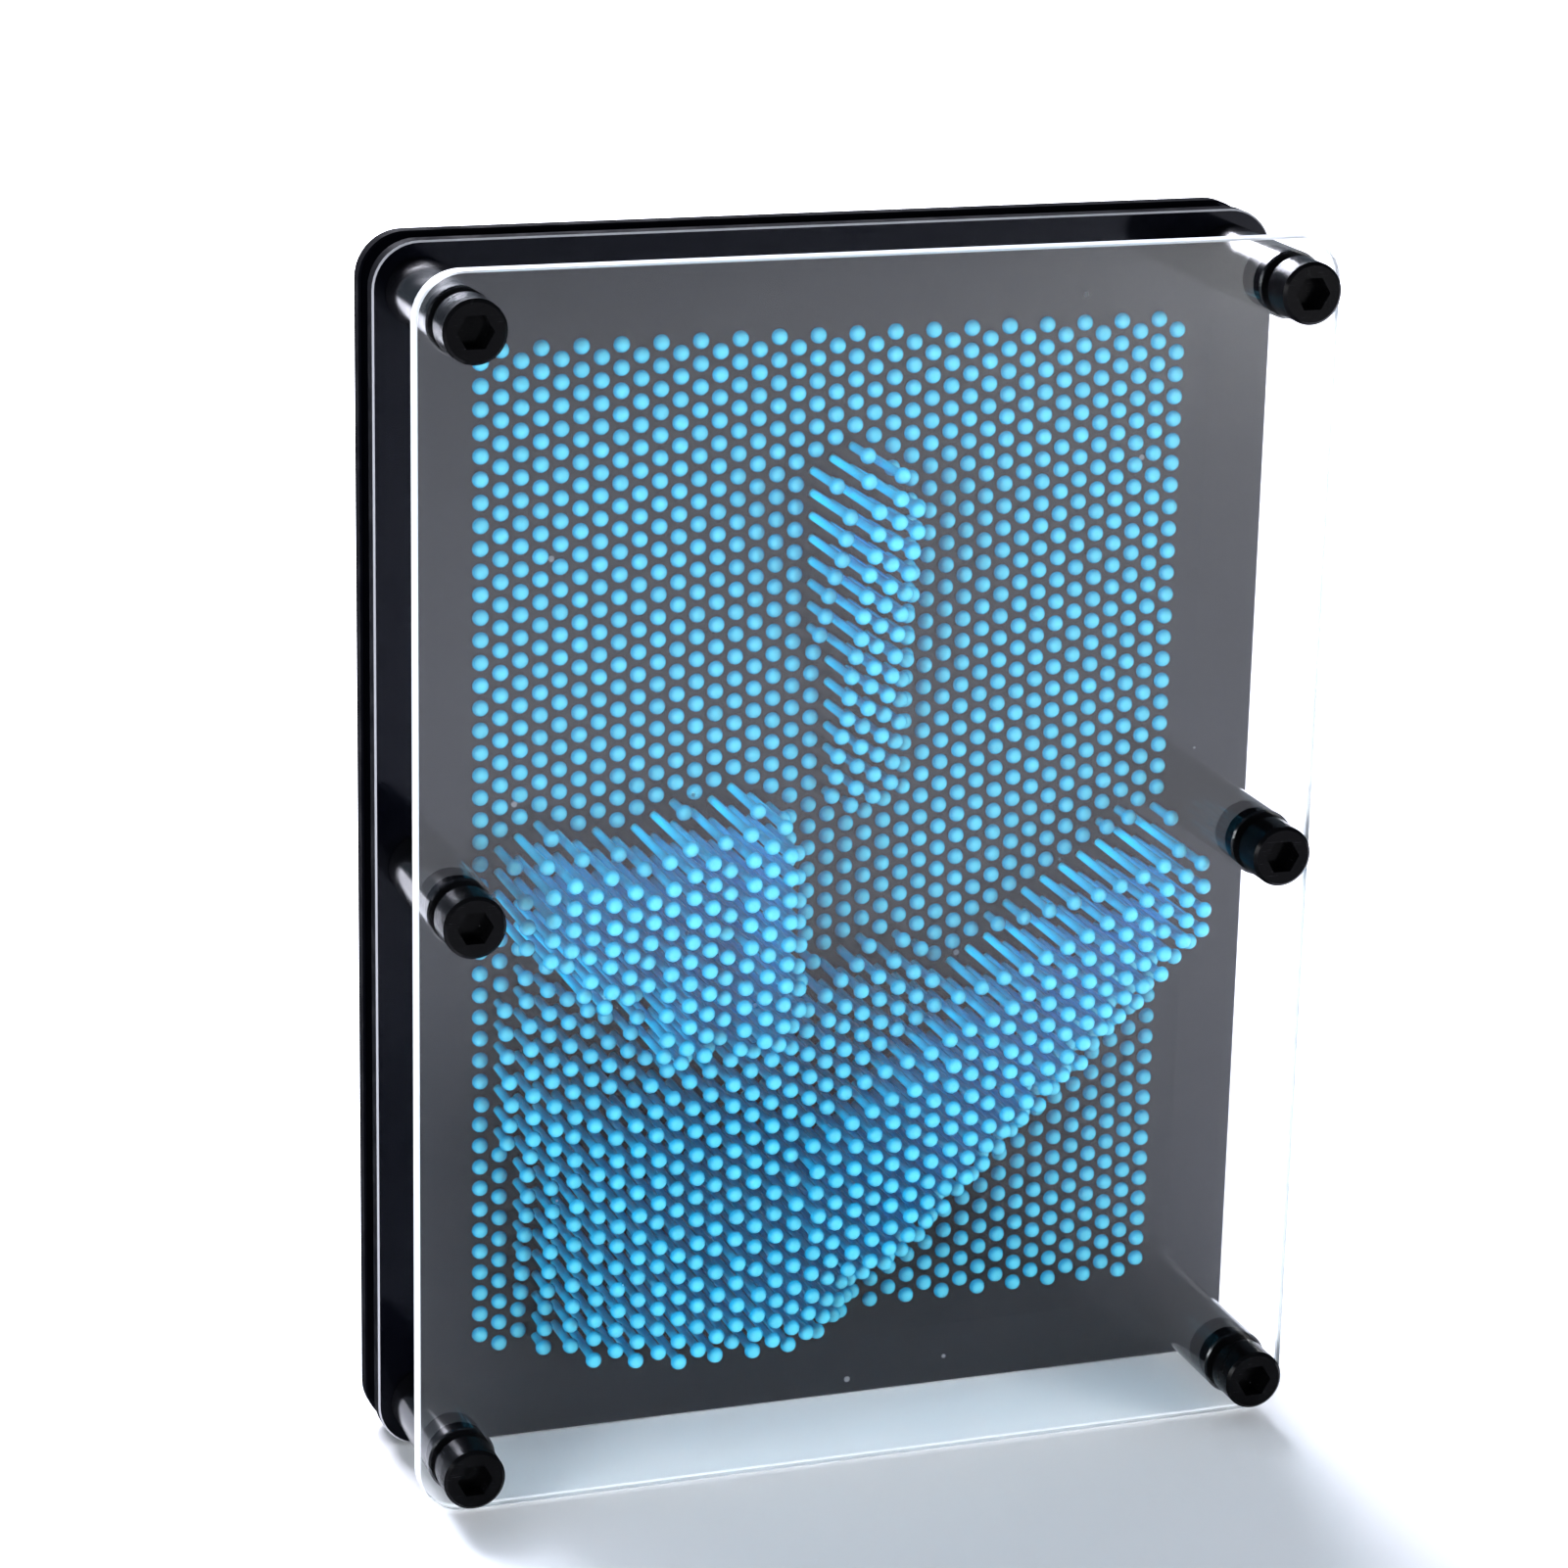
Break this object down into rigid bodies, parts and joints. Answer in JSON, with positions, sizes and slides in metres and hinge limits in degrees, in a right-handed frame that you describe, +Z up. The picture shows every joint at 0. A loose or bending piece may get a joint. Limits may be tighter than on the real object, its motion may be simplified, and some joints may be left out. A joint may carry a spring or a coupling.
{
  "type": "pin art impression toy",
  "caption": "Upright desk toy whose blue pins slide through black plates behind a clear cover and hold the shape of a pressed hand",
  "frame": {"origin": "middle of the footprint, on the surface that the three plates stand on", "axes": "+X to the viewer's right, +Y towards the rear where the pins' tails are, +Z up"},
  "size_m": [0.15, 0.0672, 0.2],
  "materials": {
    "clear_acrylic": "polished clear acrylic sheet",
    "black_acrylic": "glossy black acrylic sheet",
    "blue_pin_plastic": "glossy moulded pins, slightly translucent",
    "black_spacer_plastic": "smooth black tube",
    "black_screw_steel": "black finished steel"
  },
  "bodies": {
    "frame": {"clear_front_plate": "clear_acrylic", "front_pin_plate": "black_acrylic", "rear_pin_plate": "black_acrylic", "screw_top_left": "black_screw_steel", "front_spacer_top_left": "black_spacer_plastic", "rear_spacer_top_left": "black_spacer_plastic", "nut_top_left": "black_screw_steel", "screw_top_right": "black_screw_steel", "front_spacer_top_right": "black_spacer_plastic", "rear_spacer_top_right": "black_spacer_plastic", "nut_top_right": "black_screw_steel", "screw_middle_left": "black_screw_steel", "front_spacer_middle_left": "black_spacer_plastic", "rear_spacer_middle_left": "black_spacer_plastic", "nut_middle_left": "black_screw_steel", "screw_middle_right": "black_screw_steel", "front_spacer_middle_right": "black_spacer_plastic", "rear_spacer_middle_right": "black_spacer_plastic", "nut_middle_right": "black_screw_steel", "screw_bottom_left": "black_screw_steel", "front_spacer_bottom_left": "black_spacer_plastic", "rear_spacer_bottom_left": "black_spacer_plastic", "nut_bottom_left": "black_screw_steel", "screw_bottom_right": "black_screw_steel", "front_spacer_bottom_right": "black_spacer_plastic", "rear_spacer_bottom_right": "black_spacer_plastic", "nut_bottom_right": "black_screw_steel"},
    "moving_pins_flat": {"pins_flat": "blue_pin_plastic"},
    "moving_pins_raised_01": {"pins_raised_01": "blue_pin_plastic"},
    "moving_pins_raised_02": {"pins_raised_02": "blue_pin_plastic"},
    "moving_pins_raised_03": {"pins_raised_03": "blue_pin_plastic"},
    "moving_pins_raised_04": {"pins_raised_04": "blue_pin_plastic"},
    "moving_pins_raised_05": {"pins_raised_05": "blue_pin_plastic"},
    "moving_pins_raised_06": {"pins_raised_06": "blue_pin_plastic"},
    "moving_pins_raised_07": {"pins_raised_07": "blue_pin_plastic"},
    "moving_pins_raised_08": {"pins_raised_08": "blue_pin_plastic"},
    "moving_pins_raised_09": {"pins_raised_09": "blue_pin_plastic"},
    "moving_pins_raised_10": {"pins_raised_10": "blue_pin_plastic"},
    "moving_pins_raised_11": {"pins_raised_11": "blue_pin_plastic"},
    "moving_pins_raised_12": {"pins_raised_12": "blue_pin_plastic"},
    "moving_pins_raised_13": {"pins_raised_13": "blue_pin_plastic"},
    "moving_pins_raised_14": {"pins_raised_14": "blue_pin_plastic"},
    "moving_pins_raised_15": {"pins_raised_15": "blue_pin_plastic"},
    "moving_pins_raised_16": {"pins_raised_16": "blue_pin_plastic"},
    "moving_pins_raised_17": {"pins_raised_17": "blue_pin_plastic"},
    "moving_pins_raised_18": {"pins_raised_18": "blue_pin_plastic"},
    "moving_pins_raised_19": {"pins_raised_19": "blue_pin_plastic"},
    "moving_pins_raised_20": {"pins_raised_20": "blue_pin_plastic"},
    "moving_pins_raised_21": {"pins_raised_21": "blue_pin_plastic"},
    "moving_pins_raised_22": {"pins_raised_22": "blue_pin_plastic"},
    "moving_pins_raised_23": {"pins_raised_23": "blue_pin_plastic"},
    "moving_pins_raised_24": {"pins_raised_24": "blue_pin_plastic"},
    "moving_pins_raised_25": {"pins_raised_25": "blue_pin_plastic"},
    "moving_pins_raised_26": {"pins_raised_26": "blue_pin_plastic"},
    "moving_pins_raised_27": {"pins_raised_27": "blue_pin_plastic"}
  },
  "joints": [
    {"name": "slide_pins_flat", "type": "slide", "parent": "frame", "child": "moving_pins_flat", "axis": [0, -1, 0], "range_m": [0, 0.0212]},
    {"name": "slide_pins_raised_01", "type": "slide", "parent": "frame", "child": "moving_pins_raised_01", "axis": [0, -1, 0], "range_m": [-0.00079, 0.02041]},
    {"name": "slide_pins_raised_02", "type": "slide", "parent": "frame", "child": "moving_pins_raised_02", "axis": [0, -1, 0], "range_m": [-0.00157, 0.01963]},
    {"name": "slide_pins_raised_03", "type": "slide", "parent": "frame", "child": "moving_pins_raised_03", "axis": [0, -1, 0], "range_m": [-0.00236, 0.01884]},
    {"name": "slide_pins_raised_04", "type": "slide", "parent": "frame", "child": "moving_pins_raised_04", "axis": [0, -1, 0], "range_m": [-0.00314, 0.01806]},
    {"name": "slide_pins_raised_05", "type": "slide", "parent": "frame", "child": "moving_pins_raised_05", "axis": [0, -1, 0], "range_m": [-0.00393, 0.01727]},
    {"name": "slide_pins_raised_06", "type": "slide", "parent": "frame", "child": "moving_pins_raised_06", "axis": [0, -1, 0], "range_m": [-0.00471, 0.01649]},
    {"name": "slide_pins_raised_07", "type": "slide", "parent": "frame", "child": "moving_pins_raised_07", "axis": [0, -1, 0], "range_m": [-0.0055, 0.0157]},
    {"name": "slide_pins_raised_08", "type": "slide", "parent": "frame", "child": "moving_pins_raised_08", "axis": [0, -1, 0], "range_m": [-0.00628, 0.01492]},
    {"name": "slide_pins_raised_09", "type": "slide", "parent": "frame", "child": "moving_pins_raised_09", "axis": [0, -1, 0], "range_m": [-0.00707, 0.01413]},
    {"name": "slide_pins_raised_10", "type": "slide", "parent": "frame", "child": "moving_pins_raised_10", "axis": [0, -1, 0], "range_m": [-0.00785, 0.01335]},
    {"name": "slide_pins_raised_11", "type": "slide", "parent": "frame", "child": "moving_pins_raised_11", "axis": [0, -1, 0], "range_m": [-0.00864, 0.01256]},
    {"name": "slide_pins_raised_12", "type": "slide", "parent": "frame", "child": "moving_pins_raised_12", "axis": [0, -1, 0], "range_m": [-0.00942, 0.01178]},
    {"name": "slide_pins_raised_13", "type": "slide", "parent": "frame", "child": "moving_pins_raised_13", "axis": [0, -1, 0], "range_m": [-0.01021, 0.01099]},
    {"name": "slide_pins_raised_14", "type": "slide", "parent": "frame", "child": "moving_pins_raised_14", "axis": [0, -1, 0], "range_m": [-0.01099, 0.01021]},
    {"name": "slide_pins_raised_15", "type": "slide", "parent": "frame", "child": "moving_pins_raised_15", "axis": [0, -1, 0], "range_m": [-0.01178, 0.00942]},
    {"name": "slide_pins_raised_16", "type": "slide", "parent": "frame", "child": "moving_pins_raised_16", "axis": [0, -1, 0], "range_m": [-0.01256, 0.00864]},
    {"name": "slide_pins_raised_17", "type": "slide", "parent": "frame", "child": "moving_pins_raised_17", "axis": [0, -1, 0], "range_m": [-0.01335, 0.00785]},
    {"name": "slide_pins_raised_18", "type": "slide", "parent": "frame", "child": "moving_pins_raised_18", "axis": [0, -1, 0], "range_m": [-0.01413, 0.00707]},
    {"name": "slide_pins_raised_19", "type": "slide", "parent": "frame", "child": "moving_pins_raised_19", "axis": [0, -1, 0], "range_m": [-0.01492, 0.00628]},
    {"name": "slide_pins_raised_20", "type": "slide", "parent": "frame", "child": "moving_pins_raised_20", "axis": [0, -1, 0], "range_m": [-0.0157, 0.0055]},
    {"name": "slide_pins_raised_21", "type": "slide", "parent": "frame", "child": "moving_pins_raised_21", "axis": [0, -1, 0], "range_m": [-0.01649, 0.00471]},
    {"name": "slide_pins_raised_22", "type": "slide", "parent": "frame", "child": "moving_pins_raised_22", "axis": [0, -1, 0], "range_m": [-0.01727, 0.00393]},
    {"name": "slide_pins_raised_23", "type": "slide", "parent": "frame", "child": "moving_pins_raised_23", "axis": [0, -1, 0], "range_m": [-0.01806, 0.00314]},
    {"name": "slide_pins_raised_24", "type": "slide", "parent": "frame", "child": "moving_pins_raised_24", "axis": [0, -1, 0], "range_m": [-0.01884, 0.00236]},
    {"name": "slide_pins_raised_25", "type": "slide", "parent": "frame", "child": "moving_pins_raised_25", "axis": [0, -1, 0], "range_m": [-0.01963, 0.00157]},
    {"name": "slide_pins_raised_26", "type": "slide", "parent": "frame", "child": "moving_pins_raised_26", "axis": [0, -1, 0], "range_m": [-0.02041, 0.00079]},
    {"name": "slide_pins_raised_27", "type": "slide", "parent": "frame", "child": "moving_pins_raised_27", "axis": [0, -1, 0], "range_m": [-0.0212, 0]}
  ]
}
